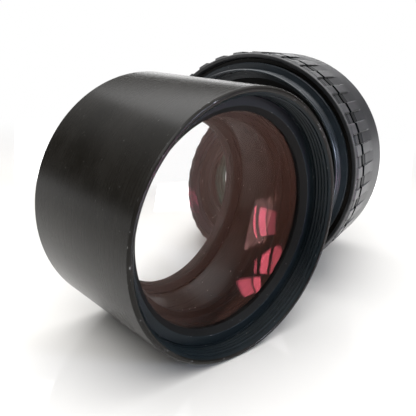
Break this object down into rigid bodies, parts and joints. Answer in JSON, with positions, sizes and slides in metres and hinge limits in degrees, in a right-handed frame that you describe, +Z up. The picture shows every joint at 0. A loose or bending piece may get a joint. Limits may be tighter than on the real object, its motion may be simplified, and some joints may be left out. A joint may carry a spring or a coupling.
{
  "type": "telescope eyepiece",
  "caption": "Push-fit wide-field telescope eyepiece in two unscrewed halves: barrel with field lens, and eye end with rubber grip and twist-up eyecup.",
  "frame": {"origin": "middle of the barrel's length on the barrel's axis; the table is one barrel radius (25.4 mm) below", "axes": "+Y along the barrel from its filter thread to its far end, +Z up from the table, +X to the side where the eye end lies"},
  "size_m": [0.1028, 0.0642, 0.0559],
  "materials": {
    "black_anodised": "satin black anodised, fine turned marks",
    "matte_black": "matte black, against stray light",
    "coated_glass": "polished, magenta anti-reflection coating",
    "clear_glass": "polished, green-blue anti-reflection coating",
    "grip_rubber": "moulded blocks, dull sheen",
    "cup_rubber": "soft, matte",
    "steel": "turned, blackened head",
    "slide_plastic": "white low-friction plastic",
    "brass": "turned"
  },
  "bodies": {
    "barrel": {"barrel_tube": "black_anodised", "field_lens_retainer": "black_anodised", "field_lens_cell": "matte_black", "field_lens_front": "coated_glass", "field_lens_rear": "coated_glass", "barrel_baffle": "matte_black"},
    "eye_end": {"body_front": "black_anodised", "lens_housing": "black_anodised", "field_stop": "matte_black", "collector_retainer": "matte_black", "collector_crown": "clear_glass", "collector_flint": "clear_glass", "front_spacer": "matte_black", "middle_lens": "clear_glass", "rear_spacer": "matte_black", "eye_lens_flint": "clear_glass", "eye_lens_crown": "clear_glass", "eye_lens_ring": "black_anodised"},
    "grip": {"grip_sleeve": "black_anodised", "drive_nut": "black_anodised", "grip_rubber": "grip_rubber", "stop_screws": "steel", "glide_washer": "slide_plastic"},
    "eyecup": {"eyecup_carrier": "black_anodised", "guide_keys": "brass", "eyecup_ring": "black_anodised", "eyecup_rubber": "cup_rubber"}
  },
  "joints": [
    {"name": "eye_end_draw", "type": "slide", "parent": "barrel", "child": "eye_end", "axis": [0.95, 0.3123, 0], "range_m": [0, 0.06]},
    {"name": "grip_turn", "type": "hinge", "parent": "eye_end", "child": "grip", "pos_m": [0.03422, 0.01554, 0.00255], "axis": [0.95, 0.3123, 0], "range_deg": [0, 90]},
    {"name": "eyecup_rise", "type": "slide", "parent": "eye_end", "child": "eyecup", "axis": [0.95, 0.3123, 0], "range_m": [0, 0.0075]}
  ],
  "couplings": [
    {"joint": "eyecup_rise", "follows": "grip_turn", "m_per_rad": 0.0047746}
  ]
}
